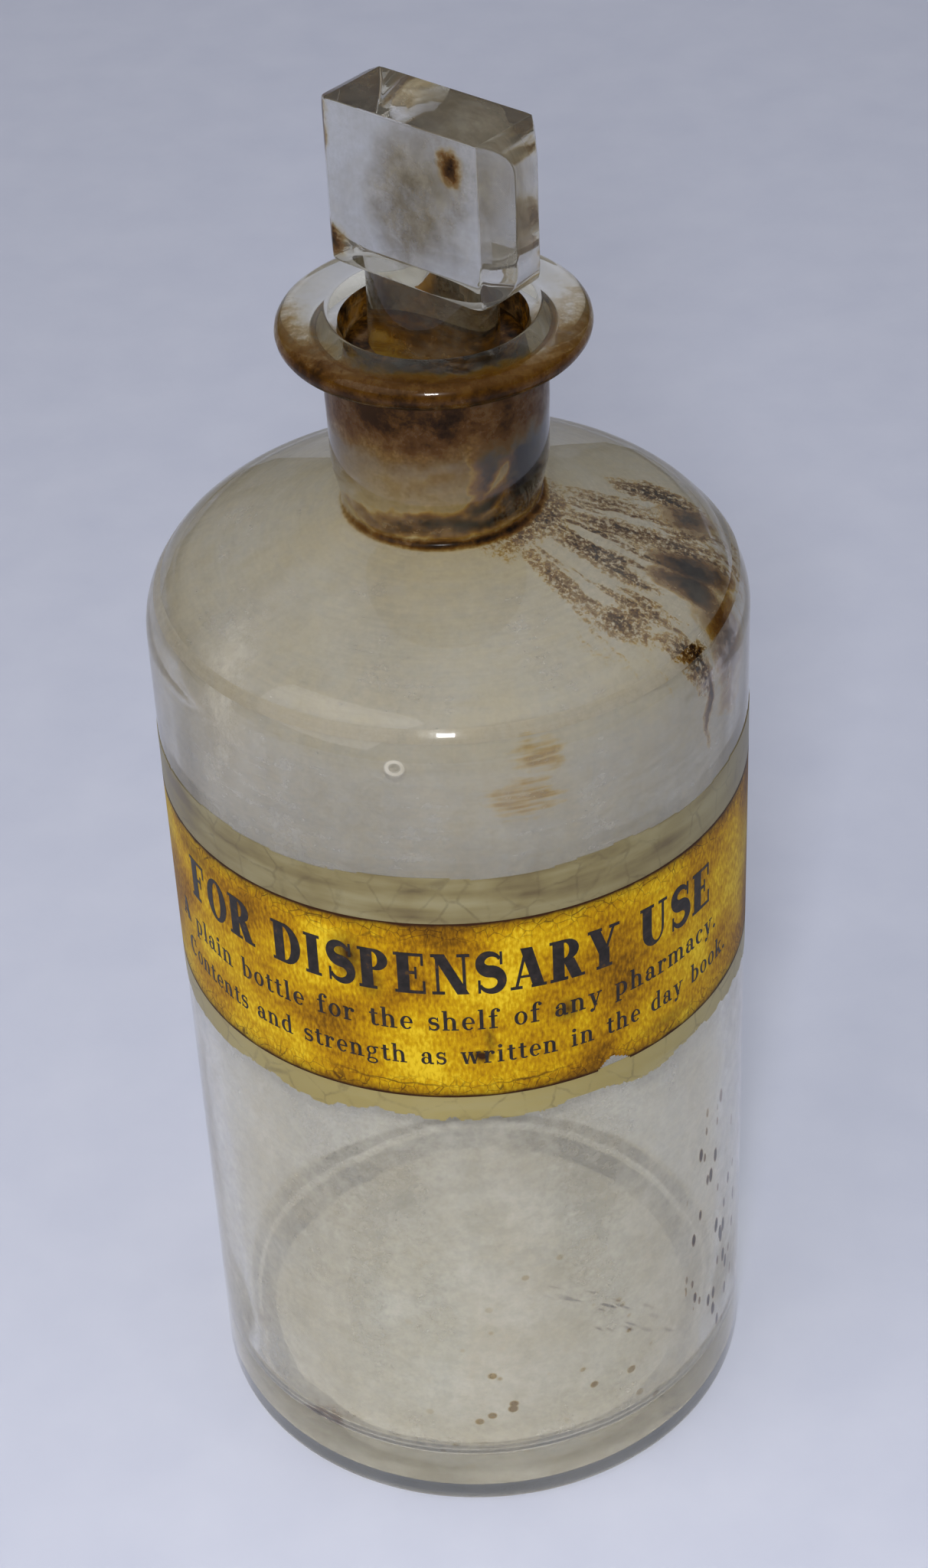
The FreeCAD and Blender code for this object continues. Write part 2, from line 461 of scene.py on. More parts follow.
def outside_haze(tree):
    """A thin bloom from handling, a chalky wipe on one shoulder, a ring of lime, and a worn, dull foot."""
    polar = round_the_bottle(tree)
    wiped = ragged(tree, polar, 9, (0.5, 1.6, 0))
    spot = blot(tree, polar, (-1.1, 9.92), (0.22, 0.16), 0, 1.0)
    worn = add_node(tree, "MapRange", {
        "Value": height_up(tree), "From Min": 2.4 * MM, "From Max": 1.0 * MM, "To Max": 0.5})
    return thickest(tree, [
        crumbs(tree, 16, 0.0, 0.10),
        scaled_by(tree, blot(tree, wiped, (-5.0, 10.4), (1.4, 3.4), 12, 1.3), crumbs(tree, 9, 0.25, 0.60)),
        worn.outputs[0],
        ramp(tree, spot, [(0.05, 0.0), (0.25, 0.85), (0.45, 0.85), (0.6, 0.1)]),
    ])


def outside_syrup(tree):
    """Syrup has run over the lip and gathered round the foot of the neck."""
    polar = round_the_bottle(tree)
    spilt = scaled_by(tree, blots(tree, ragged(tree, polar, 7, (1.6, 0.35, 0)), [
        ((0, 15.90), (15.0, 0.85), 0, 0.78),
        ((-5.0, 16.1), (5.4, 1.00), 0, 0.66),
        ((6.5, 16.0), (5.0, 0.80), 0, 0.55),
        ((0, 16.35), (13.0, 0.45), 0, 0.50),
        ((0, 15.1), (20.0, 1.5), 0, 0.21),
    ]), crumbs(tree, 5, 0.5, 1.1))
    foot_line = blot(tree, polar, (3.0, 14.2), (16.0, 0.16), 0, 0.95)
    return thickest(tree, [spilt, scaled_by(tree, foot_line, crumbs(tree, 3, 0.6, 1.1))])


def share_of_height(tree):
    """0 at the table and 1 just over the lip."""
    return add_node(tree, "MapRange", {"Value": height_up(tree), "From Max": 0.185}).outputs[0]


def inside_film_painted_light_and_shade(tree):
    """Tan on the floor, pale grey up the wall, and darker from the shoulder up into the neck: the pale wall
    is painted light, the grey over the upper wall and shoulder is painted shade, and the neck goes brown.
    """
    # painted light on the pale wall and painted shade over the upper wall and shoulder, set by height
    painted_light_and_shade_by_height = ramp(tree, share_of_height(tree), [
        (0.04, "#D6CCB4"), (0.10, "#F2EFE8"), (0.42, "#F0EDE7"), (0.62, "#958F84"), (0.72, "#9C968A"),
        (0.80, "#BCB5A3"), (0.84, "#B3A47C"), (0.90, "#735617")])
    return mixed(tree, crumbs(tree, 10, 0.0, 0.34), painted_light_and_shade_by_height, "#B9AA86")


def inside_haze_and_painted_shade(tree):
    """Dust and dried solution: a beige film with upright runs on the wall and level wipes on the shoulder.
    There is more of it from the upper wall up, where it spreads the painted shade of the film colour.
    """
    place = add_node(tree, "TexCoord").outputs["Object"]
    upright = streaky(tree, place, (90.0, 90.0, 22.0), 8.0)
    level = streaky(tree, round_the_bottle(tree), (0.5, 9.0, 1.0), 6.0)
    wiped = add_node(tree, "MapRange", {
        "Value": height_up(tree), "From Min": 0.07, "From Max": 0.12, "To Min": 0.06, "To Max": 0.38})
    both = add_node(tree, "Mix", {0: wiped.outputs[0], 2: upright, 3: level}, data_type="FLOAT")
    film = add_node(tree, "MapRange", {
        "Value": both.outputs[0], "From Min": 0.36, "From Max": 0.64, "To Min": 0.08, "To Max": 0.40})
    dust = add_node(tree, "Math", {
        0: film.outputs[0], 1: crumbs(tree, 2.2, -0.04, 0.12)}, operation="ADD")
    # more film over the upper wall and shoulder spreads the painted shade there
    film_and_painted_shade_cover = ramp(tree, share_of_height(tree), [
        (0.06, 0.06), (0.12, 0.20), (0.40, 0.14), (0.50, 0.04), (0.64, 0.32), (0.80, 0.30), (0.92, 0.72)])
    return add_node(tree, "Math", {0: dust.outputs[0], 1: film_and_painted_shade_cover}, operation="ADD").outputs[0]


def shoulder_runs(tree, place):
    """Thin runs from the neck down one side of the shoulder, broken up into crumbs."""
    streaks = ramp(tree, streaky(tree, place, (2.6, 0.5, 1.0), 3.0), [(0.46, 0.0), (0.60, 1.0)])
    return scaled_by(tree, thickest(tree, [
        runs(tree, place, [
            ((6.2, 14.1), (6.3, 11.6), 0.55, 0.75),
            ((4.0, 13.9), (4.4, 12.0), 0.60, 0.70),
            ((4.3, 12.1), (5.0, 10.9), 0.50, 0.90),
            ((5.0, 10.9), (5.8, 9.7), 0.42, 1.15),
            ((11.3, 12.4), (9.4, 10.8), 0.60, 1.2),
            ((8.2, 13.9), (8.2, 11.2), 0.55, 0.85),
            ((9.8, 13.7), (9.4, 11.8), 0.50, 0.70),
        ]),
        scaled_by(tree, blot(tree, place, (7.2, 12.2), (4.4, 3.0), 0, 1.15), streaks),
        blot(tree, place, (6.6, 13.95), (5.2, 0.55), 0, 0.85),
    ]), crumbs(tree, 0.7, 0.04, 1.15))


def pools(tree, place, neck):
    """A crust in the neck with a clear amber streak through it, and dark pools where the runs ended."""
    crust = add_node(tree, "Math", {
        0: blot(tree, neck, (5.8, 15.45), (4.8, 1.2), 0, 2.0),
        1: run(tree, neck, (2.6, 14.9), (5.6, 15.6), 0.36, 1.6)}, operation="SUBTRACT")
    thick = thickest(tree, [
        crust.outputs[0],
        run(tree, neck, (5.0, 15.2), (0.6, 14.65), 0.22, 1.1),
        blot(tree, neck, (1.5, 14.62), (12.0, 0.26), 0, 1.0),
        blots(tree, place, [
            ((7.6, 11.2), (0.75, 0.9), 0, 1.3),
            ((6.9, 11.15), (0.55, 0.9), 0, 1.3),
            ((9.5, 11.3), (0.75, 0.8), 0, 1.0),
            ((6.7, 10.2), (0.9, 1.5), 0, 0.62),
        ]),
        run(tree, place, (5.75, 10.2), (5.7, 9.0), 0.16, 0.9),
    ])
    return scaled_by(tree, thick, crumbs(tree, 2.2, 0.62, 1.1))


def specks(tree, polar):
    """Dark drops low on one side of the wall."""
    cells = add_node(tree, "Mapping", {
        "Vector": polar, "Rotation": (0, 0, 0.4), "Scale": (3.4, 1.9, 1.0)})
    cell = add_node(tree, "TexVoronoi", {"Vector": cells.outputs[0], "Scale": 1.0})
    drop = ramp(tree, cell.outputs["Distance"], [(0.19, 0.75), (0.30, 0.0)])
    side = ramp(tree, blot(tree, polar, (6.2, -0.3), (1.5, 3.2), 0, 1.0), [(0.10, 0.0), (0.3, 1.0)])
    return scaled_by(tree, drop, side)


def grit(tree, polar):
    """A few crumbs of crust that have dropped on the floor."""
    here = add_node(tree, "TexCoord").outputs["Object"]
    grain = add_node(tree, "TexVoronoi", {"Vector": here, "Scale": 210.0})
    crumb = ramp(tree, grain.outputs["Distance"], [(0.10, 0.6), (0.22, 0.0)])
    patch = ragged(tree, polar, 12, (5.0, 5.0, 0))
    return scaled_by(tree, crumb, blot(tree, patch, (1.6, -2.0), (5.5, 4.5), 0, 0.5))


def smudge(tree, polar):
    """Two faint brown wipes, one over the other, on the upper wall."""
    wiped = blots(tree, ragged(tree, polar, 3, (0.9, 0.35, 0)), [
        ((1.55, 10.1), (0.75, 0.42), 0, 1.0), ((1.30, 9.5), (1.0, 0.50), 0, 1.0)])
    grained = ramp(tree, streaky(tree, polar, (0.9, 12.0, 1.0), 5.0), [(0.38, 0.5), (0.60, 1.1)])
    return scaled_by(tree, ramp(tree, wiped, [(0.0, 0.0), (0.60, 0.21)]), grained)


def inside_syrup(tree):
    """Syrup dried where it was poured: in the mouth and neck, over one side of the shoulder, and below. The
    ring in the mouth is also painted shade on the wall above the plug.
    """
    polar = round_the_bottle(tree)
    place = ragged(tree, polar, 8, (1.0, 1.0, 0))
    neck = ragged(tree, polar, 5, (2.4, 0.5, 0))
    # the dark ring round the top of the bore is dried syrup in the joint and, on the wall above the plug,
    # painted shade
    mouth = blots(tree, neck, [((0, 16.75), (60.0, 0.95), 0, 1.0), ((-3.0, 16.1), (9.0, 0.60), 0, 0.7)])
    heel = blot(tree, place, (-4.5, -2.95), (5.5, 0.28), 0, 0.8)
    return thickest(tree, [
        shoulder_runs(tree, place),
        pools(tree, place, neck),
        scaled_by(tree, mouth, crumbs(tree, 4, 0.45, 1.1)),
        specks(tree, polar),
        scaled_by(tree, heel, crumbs(tree, 4, 0.3, 1.0)),
        smudge(tree, polar),
        grit(tree, polar),
    ])


glass_outside = dirty_glass(
    "soda-lime glass, blown, handled", "#F6F5EE", outside_film, outside_haze, outside_syrup, 26)
glass_inside = dirty_glass(
    "soda-lime glass, blown, filmed inside", "#F6F5EE", inside_film_painted_light_and_shade, inside_haze_and_painted_shade, inside_syrup, 18)
bottle.data.materials.append(glass_outside)
bottle.data.materials.append(glass_inside)
for face in bottle.data.polygons:
    face.material_index = int(is_inside(face.center))
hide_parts("bottle")
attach(bottle, "bottle_body")


# ---- stopper ------------------------------------------------------------------------------------
# Clear glass, pressed and then cut: a flat tablet head with its upright edges cut off, a waist, and a plug
# ground matt to fit the neck. It is one piece, and syrup has dried on the plug and on the head's corners.
# The grey over the middle of the head's broad faces is painted shade.

head_low = 188.4
head_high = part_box("stopper")[1][2] / MM
head_width = 30.8
head_thickness = 10.9
head_off_axis = 0.6
head_turn = math.radians(-41.0)
plug_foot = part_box("stopper")[0][2] / MM
plug_top = 178.6
plug_clearance = 0.05


def add_block(name, low, high):
    """A block between two corners, in mm, left in edit mode with nothing selected."""
    bpy.ops.object.select_all(action="DESELECT")
    bpy.ops.mesh.primitive_cube_add(size=MM)
    piece = bpy.context.object
    piece.name = piece.data.name = name
    edit_mode()
    bpy.ops.transform.resize(value=[b - a for a, b in zip(low, high)])
    bpy.ops.transform.translate(value=[(a + b) / 2 * MM for a, b in zip(low, high)])
    bpy.ops.mesh.select_all(action="DESELECT")
    return piece


def bevel_edges(piece, wanted, offset, segments):
    """Bevels the edges of a piece in edit mode that a test picks by their two ends."""
    bpy.ops.mesh.select_mode(type="EDGE")
    bpy.ops.mesh.select_all(action="DESELECT")
    choose(piece, "edges", lambda edge: wanted(*[v.co / MM for v in edge.verts]))
    bpy.ops.mesh.bevel(offset=offset * MM, segments=segments, affect="EDGES")


def combine(piece, other, operation):
    """Cuts or joins two closed pieces into one; the other is used up."""
    modify(piece, "BOOLEAN", operation=operation, solver="EXACT", object=other)
    bpy.data.objects.remove(other)


def make_head():
    half_width, half_thickness = head_width / 2, head_thickness / 2
    low = (head_off_axis - half_width, -half_thickness, head_low)
    high = (head_off_axis + half_width, half_thickness, head_high)
    head = add_block("glass_stopper", low, high)
    bevel_edges(head, lambda a, b: abs(a.z - b.z) > 5, 3.3, 1)
    object_mode()
    side = add_block("side view", (low[0], -10, low[2]), (high[0], 10, high[2]))
    bevel_edges(side, lambda a, b: abs(a.y - b.y) > 5 and min(a.z, b.z) > 200, 4.1, 8)
    bevel_edges(side, lambda a, b: abs(a.y - b.y) > 5 and max(a.z, b.z) < head_low + 0.1, 5.0, 8)
    object_mode()
    combine(head, side, "INTERSECT")
    modify(head, "BEVEL", width=0.5 * MM, segments=3, limit_method="ANGLE", angle_limit=math.radians(28))
    return head


def make_waist():
    """From a round foot in the plug to a flat oval in the head."""
    bpy.ops.object.select_all(action="DESELECT")
    foot, top = plug_top - 1.2, head_low + 1.2
    bpy.ops.mesh.primitive_cylinder_add(vertices=64, radius=8.6 * MM, depth=(top - foot) * MM)
    waist = bpy.context.object
    edit_mode()
    bpy.ops.transform.translate(value=(0, 0, (top + foot) / 2 * MM))
    bpy.ops.mesh.select_all(action="DESELECT")
    choose(waist, "verts", lambda vertex: vertex.co.z > (top + foot) / 2 * MM)
    bpy.ops.transform.resize(value=(10.4 / 8.6, 4.9 / 8.6, 1))
    object_mode()
    return waist


def make_plug():
    """A cone that fits the ground neck, with its two rims rounded."""
    bpy.ops.object.select_all(action="DESELECT")
    slope = (bore_top_radius - bore_foot_radius) / (bore_top_height - bore_foot_height)
    radii = [bore_top_radius - plug_clearance - slope * (bore_top_height - height)
             for height in (plug_foot, plug_top)]
    bpy.ops.mesh.primitive_cone_add(vertices=96, radius1=radii[0] * MM, radius2=radii[1] * MM,
                                    depth=(plug_top - plug_foot) * MM)
    plug = bpy.context.object
    edit_mode()
    bpy.ops.transform.translate(value=(0, 0, (plug_top + plug_foot) / 2 * MM))
    bevel_edges(plug, lambda a, b: min(a.z, b.z) > plug_top - 0.01, 1.4, 5)
    bevel_edges(plug, lambda a, b: max(a.z, b.z) < plug_foot + 0.01, 1.0, 4)
    object_mode()
    return plug


def make_stopper():
    stopper = make_head()
    combine(stopper, make_waist(), "UNION")
    combine(stopper, make_plug(), "UNION")
    edit_mode()
    bpy.ops.mesh.select_all(action="SELECT")
    bpy.ops.mesh.remove_doubles(threshold=0.00002)
    bpy.ops.mesh.dissolve_degenerate(threshold=0.00001)
    bpy.ops.transform.rotate(value=-head_turn, orient_axis="Z", center_override=(0, 0, 0))
    object_mode()
    bpy.ops.object.shade_smooth_by_angle(angle=math.radians(24))
    return stopper


stopper = make_stopper()


def along_the_head(tree):
    """Object coordinates in millimetres, turned to lie along the head."""
    place = add_node(tree, "TexCoord").outputs["Object"]
    scaled = add_node(tree, "Mapping", {
        "Vector": place, "Rotation": (0, 0, -head_turn), "Scale": (1000, 1000, 1000)})
    return scaled.outputs[0]


def head_film_with_painted_shade(tree):
    # dark greys for the finger marks and for the painted shade over the middle of the head
    return clouded(tree, 6, "#665C48", "#8C8472")


def head_marks_and_painted_shade(tree):
    """Finger marks, and a grey film over the middle of the broad faces that is painted shade."""
    place = ragged(tree, along_the_head(tree), 7, (5.0, 1.0, 5.0))
    # painted shade: a grey film over the middle of the broad faces
    middle = blot(tree, place, (1.0, 0, 200.5), (9.5, 14.0, 15.0), 0, 1.0)
    painted_shade_smear = scaled_by(tree, ramp(tree, middle, [(0.06, 0.0), (0.45, 0.88)]), crumbs(tree, 5, 0.62, 1.0))
    return thickest(tree, [crumbs(tree, 6, 0.04, 0.20), painted_shade_smear])


def head_syrup(tree):
    """Amber down one upper corner, a dark spot near the top, and brown at two lower corners."""
    place = ragged(tree, along_the_head(tree), 4, (3.0, 3.0, 4.0))
    stains = blots(tree, place, [
        ((-14.0, -4.5, 207.0), (3.8, 6.0, 8.0), 0, 1.0),
        ((8.6, -5.4, 207), (2.6, 3.0, 3.4), 0, 1.0),
        ((-12.0, -4.5, 191.5), (4.5, 5.0, 3.6), 0, 0.9),
        ((14.5, 4.0, 193.5), (4.0, 5.0, 5.5), 0, 0.55),
    ])
    return scaled_by(tree, stains, crumbs(tree, 2.5, 0.5, 1.1))


def plug_film(tree):
    return clouded(tree, 5, "#A8966A", "#C4B795")


def plug_haze(tree):
    return crumbs(tree, 3, 0.5, 0.8)


def plug_syrup(tree):
    """The ground surface holds syrup, most of all over the top of the plug."""
    level = add_node(tree, "SeparateXYZ", {"Vector": along_the_head(tree)}).outputs["Z"]
    upper = add_node(tree, "MapRange", {
        "Value": level, "From Min": 170.0, "From Max": 177.5, "To Min": 0.30, "To Max": 0.72})
    return scaled_by(tree, upper.outputs[0], crumbs(tree, 4, 0.45, 1.15))


head_glass = dirty_glass(
    "pressed glass, cut and polished", "#F8F8F4", head_film_with_painted_shade, head_marks_and_painted_shade, head_syrup, 14)
plug_glass = dirty_glass(
    "pressed glass, ground matt", "#F1EFE6", plug_film, plug_haze, plug_syrup, 6)
stopper.data.materials.clear()
stopper.data.materials.append(head_glass)
stopper.data.materials.append(plug_glass)
for face in stopper.data.polygons:
    face.material_index = int(face.center.z < (plug_top + 0.1) * MM)
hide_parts("stopper")
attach(stopper, "stopper_body")


# ---- paper label --------------------------------------------------------------------------------
# A strip of printed paper pasted round the front of the glass, browned and made amber by its varnish. Its
# edges are dark with dirt, it has cracked near the middle of its lower edge, and one flake has come off.

paper_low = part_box("paper_label")[0][2] / MM
paper_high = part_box("paper_label")[1][2] / MM
paper_length = 127.0
paper_rise = 0.07
paper_thickness = 0.08


def wrap(piece, rise):
    """Bends a flat piece, lying in XZ with X along its length, round the bottle at a small height off it."""
    for vertex in piece.data.vertices:
        along, off, up = vertex.co
        reach = (bottle_radius + rise) * MM + off
        turn = along / (bottle_radius * MM)
        vertex.co = (math.sin(turn) * reach, -math.cos(turn) * reach, up)


def flat_sheet(name, length, low, high, columns, rows):
    """A flat upright sheet with a grid of faces and a UV map."""
    bpy.ops.object.select_all(action="DESELECT")
    bpy.ops.mesh.primitive_grid_add(x_subdivisions=columns, y_subdivisions=rows, size=1)
    piece = bpy.context.object
    piece.name = piece.data.name = name
    edit_mode()
    bpy.ops.transform.resize(value=(length * MM, (high - low) * MM, 1))
    object_mode()
    for vertex in piece.data.vertices:
        vertex.co = (vertex.co.x, 0, vertex.co.y + (high + low) / 2 * MM)
    return piece


def lay_map(piece):
    """The piece's UV map: metres along and up the flat sheet."""
    layer = piece.data.uv_layers[0].data
    for loop in piece.data.loops:
        place = piece.data.vertices[loop.vertex_index].co
        layer[loop.index].uv = (place.x, place.z)


def tear(seed, rough, step):
    """A ragged edge: a function of the length along it, in mm, that wanders by about rough mm."""
    chance = random.Random(seed)
    waves = [(chance.uniform(0.2, 1.0) * step * 2 ** -k, chance.uniform(0, 6.3)) for k in range(6)]
    return lambda along: rough * sum(
        math.sin(along / wave + phase) * wave / step for wave, phase in waves)


def cut_away(piece, gone):
    """Deletes the faces of a flat sheet whose middle a test says is gone, given in mm."""
    edit_mode()
    bpy.ops.mesh.select_mode(type="FACE")
    bpy.ops.mesh.select_all(action="DESELECT")
    choose(piece, "faces", lambda face: gone(
        face.calc_center_median().x / MM, face.calc_center_median().z / MM))
    bpy.ops.mesh.delete(type="FACE")
    object_mode()


def thicken(piece, thickness):
    modify(piece, "SOLIDIFY", thickness=thickness * MM, offset=0.0)


def make_paper():
    paper = flat_sheet("paper_strip", paper_length, paper_low, paper_high, 420, 104)
    upper, lower = tear(3, 0.10, 5.0), tear(4, 0.12, 4.0)
    flake = tear(5, 0.35, 1.5)

    def gone(along, up):
        flaked = (along - 20.5) ** 2 / 9 + (up - paper_low) ** 2 / 3 + flake(along + up) < 1
        return up > paper_high - 0.25 + upper(along) or up < paper_low + 0.3 + lower(along) or flaked

    cut_away(paper, gone)
    lay_map(paper)
    wrap(paper, paper_rise)
    thicken(paper, paper_thickness)
    return paper


def cracks(tree, flat, size):
    """Fine crackle over a flat map in mm: 1 along the cracks and 0 between them."""
    bent = ragged(tree, flat, 2, (1.0, 1.0, 0))
    cells = add_node(
        tree, "TexVoronoi", {"Vector": bent, "Scale": 1 / size}, feature="DISTANCE_TO_EDGE")
    return ramp(tree, cells.outputs["Distance"], [(0.015, 1.0), (0.05, 0.0)])


def set_gloss(shader, roughness, specular, coat):
    """A dull surface under a thin, smoother coat of varnish."""
    shader.inputs["Roughness"].default_value = roughness
    shader.inputs["Specular IOR Level"].default_value = specular
    shader.inputs["Coat Weight"].default_value = coat
    shader.inputs["Coat Roughness"].default_value = 0.15


def aged_paper():
    """Varnished paper: mottled amber, golden where thin, and brown where damp got in."""
    material, tree, shader = new_material("letterpress paper, varnished and aged")
    place = add_node(tree, "UVMap").outputs["UV"]
    fibre = streaky(tree, place, (2200.0, 900.0, 1.0), 5.0)
    patch = add_node(tree, "TexNoise", {"Vector": place, "Scale": 75.0, "Detail": 6.0})
    blend = add_node(tree, "Mix", {
        0: 0.36, 2: patch.outputs["Fac"], 3: fibre}, data_type="FLOAT")
    amber = ramp(tree, blend.outputs[0], [
        (0.34, "#6A4602"), (0.42, "#936602"), (0.48, "#AE8002"), (0.54, "#C29804"), (0.62, "#DEBB22")])
    # dirt along the edges, brown ends, and the stains where damp got under the varnish
    flat = add_node(tree, "Mapping", {"Vector": place, "Scale": (1000.0, 1000.0, 1.0)}).outputs[0]
    wander = ragged(tree, flat, 3, (2.0, 2.0, 0))
    middle = (paper_low + paper_high) / 2
    rough = ragged(tree, flat, 2.5, (0.8, 0.8, 0))
    far = blot(tree, rough, (0, middle), (1e5, paper_high - middle), 0, 1.0)
    ends = blot(tree, wander, (0, middle), (paper_length / 2, 1e5), 0, 1.0)
    stains = thickest(tree, [
        ramp(tree, far, [(0.035, 1.0), (0.065, 0.45), (0.16, 0.0)]),
        scaled_by(tree, cracks(tree, flat, 1.6), ramp(tree, far, [(0.10, 0.8), (0.30, 0.0)])),
        ramp(tree, ends, [(0.01, 0.9), (0.05, 0.45), (0.22, 0.0)]),
        blots(tree, wander, [
            ((-16.0, 108.0), (3.4, 5.0), 10, 1.1),
            ((-13.0, 104.0), (2.4, 3.5), 0, 0.8),
            ((1.5, 91.6), (1.9, 1.4), 0, 1.5),
            ((2.8, 94.5), (1.2, 2.8), 0, 0.7),
            ((13.5, 97.4), (2.6, 2.4), 0, 0.9),
            ((-44.0, 112.0), (8.0, 3.0), 0, 0.6),
            ((30.0, 87.0), (7.0, 2.0), 0, 0.5),
        ]),
        runs(tree, wander, [((-21.0, 87.6), (0.0, 86.0), 0.25, 0.9), ((0.0, 86.0), (15.0, 87.2), 0.25, 0.9)]),
    ])
    browned = mixed(tree, stains, amber, "#341C06")
    tree.links.new(browned, shader.inputs["Base Color"])
    set_gloss(shader, 0.5, 0.05, 0.08)
    relief = add_node(tree, "Bump", {
        "Height": blend.outputs[0], "Strength": 0.15, "Distance": 0.15 * MM})
    tree.links.new(relief.outputs[0], shader.inputs["Normal"])
    return material


paper = make_paper()
paper.data.materials.append(aged_paper())
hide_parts("paper_label")
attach(paper, "bottle_body")


# ---- printing -----------------------------------------------------------------------------------
# Black letterpress ink on the paper: one line of heavy Clarendon capitals and two lines of small type.
# The words are plain ones that any dispensary could use.

serif = 0.075  # heights and widths of letters are shares of a capital's height
stem = 0.32
hair = 0.085
small_stem = 0.155
small_serif = 0.06


def bar(x0, z0, x1, z1, width):
    """A straight stroke from one height to another; its width is measured level."""
    half = width / 2
    return [[(x0 - half, z0), (x0 + half, z0), (x1 + half, z1), (x1 - half, z1)]]


def foot(x0, x1, z=serif / 2, thickness=serif):
    """A level stroke, such as a serif."""
    low, high = z - thickness / 2, z + thickness / 2
    return [[(x0, low), (x1, low), (x1, high), (x0, high)]]


def bowl(outer, inner, first, last):
    """A round stroke between two ovals, each (centre x, centre z, half width, half height), in degrees."""
    steps = max(6, round(abs(last - first) / 15))
    turns = [math.radians(first + (last - first) * k / steps) for k in range(steps + 1)]
    rims = [[(oval[0] + oval[2] * math.cos(t), oval[1] + oval[3] * math.sin(t)) for t in turns]
            for oval in (outer, inner)]
    return [[rims[0][i], rims[0][i + 1], rims[1][i + 1], rims[1][i]] for i in range(steps)]


def dot(x, z, radius):
    return bowl((x, z, radius, radius), (x, z, radius * 0.02, radius * 0.02), 0, 360)


def letter_s(width, height, thin, thick, beak):
    """Two turns of a curve, thin at its ends and thick where it crosses the middle, with upright beaks."""
    upper = [math.radians(20 + 250 * k / 24) for k in range(24)]
    lower = [math.radians(90 - 250 * k / 24) for k in range(25)]
    path = [(0.51 + 0.33 * math.cos(t), 0.745 + 0.215 * math.sin(t)) for t in upper]
    path += [(0.51 + 0.37 * math.cos(t), 0.285 + 0.245 * math.sin(t)) for t in lower]
    path = [Vector((x * width, z * height)) for x, z in path]
    sides = []
    for i, point in enumerate(path):
        along = (path[min(i + 1, len(path) - 1)] - path[max(i - 1, 0)]).normalized()
        half = (thin + (thick - thin) * math.sin(math.pi * i / (len(path) - 1)) ** 1.6) / 2
        across = Vector((-along.y, along.x)) * half
        sides.append((tuple(point + across), tuple(point - across)))
    ribbon = [[a[0], a[1], b[1], b[0]] for a, b in zip(sides, sides[1:])]
    return [ribbon, bar(0.87 * width, 0.68 * height, 0.87 * width, height, beak),
            bar(0.13 * width, 0.0, 0.13 * width, 0.33 * height, beak)]


top = 1 - serif / 2
left_stem = bar(0.24, 0, 0.24, 1, stem)
half_bowl = bowl((0.46, 0.735, 0.36, 0.265), (0.40, 0.735, 0.14, 0.19), -90, 90)
stem_and_bowl = [left_stem, foot(0.0, 0.50), foot(0.0, 0.48, top), half_bowl, foot(0.3, 0.46, 0.51)]
capitals = {
    "A": (0.98, [bar(0.15, 0, 0.45, 1, hair), bar(0.77, 0, 0.45, 1, stem), foot(0.0, 0.32), foot(0.56, 0.98),
                 foot(0.24, 0.66, 0.30, 0.06)]),
    "C": (0.88, [bowl((0.45, 0.5, 0.43, 0.52), (0.48, 0.5, 0.20, 0.44), 48, 312),
                 bar(0.78, 0.62, 0.78, 1, 0.07)]),
    "D": (0.96, [left_stem, foot(0.0, 0.50), foot(0.0, 0.50, top),
                 bowl((0.44, 0.5, 0.48, 0.5), (0.40, 0.5, 0.22, 0.42), -90, 90)]),
    "E": (0.88, [left_stem, foot(0.0, 0.80), foot(0.0, 0.78, top), bar(0.75, 0.70, 0.75, 1, 0.07),
                 bar(0.78, 0, 0.78, 0.32, 0.07), foot(0.3, 0.58, 0.52), bar(0.57, 0.37, 0.57, 0.67, 0.06)]),
    "F": (0.84, [left_stem, foot(0.0, 0.52), foot(0.0, 0.78, top), bar(0.75, 0.70, 0.75, 1, 0.07),
                 foot(0.3, 0.58, 0.53), bar(0.57, 0.38, 0.57, 0.68, 0.06)]),
    "I": (0.54, [left_stem, foot(0.0, 0.48), foot(0.0, 0.48, top)]),
    "N": (1.04, [bar(0.16, 0, 0.16, 1, hair), foot(0.0, 0.34), bar(0.82, 0, 0.20, 1, stem),
                 foot(0.0, 0.28, top), bar(0.86, 0, 0.86, 1, hair), foot(0.68, 1.02, top)]),
    "O": (0.94, [bowl((0.46, 0.5, 0.45, 0.52), (0.46, 0.5, 0.17, 0.44), 0, 360)]),
    "P": (0.88, stem_and_bowl),
    "R": (0.98, stem_and_bowl + [bar(0.76, 0, 0.52, 0.50, stem), foot(0.62, 0.98)]),
    "S": (0.82, letter_s(0.80, 1.0, hair, 0.30, 0.07)),
    "U": (1.00, [bar(0.24, 0.34, 0.24, 1, stem), bar(0.80, 0.34, 0.80, 1, hair), foot(0.0, 0.48, top),
                 foot(0.64, 0.96, top),
                 bowl((0.461, 0.35, 0.381, 0.37), (0.578, 0.35, 0.18, 0.28), 180, 360)]),
    "Y": (0.98, [bar(0.47, 0.40, 0.19, 1, stem), bar(0.52, 0.40, 0.80, 1, hair),
                 bar(0.48, 0, 0.48, 0.48, stem), foot(0.0, 0.42, top), foot(0.64, 0.96, top),
                 foot(0.24, 0.72)]),
}


def post(x, low, high):
    """The upright stroke of a small letter."""
    return bar(x, low, x, high, small_stem)


def tab(x0, x1, z=small_serif / 2):
    return foot(x0, x1, z, small_serif)


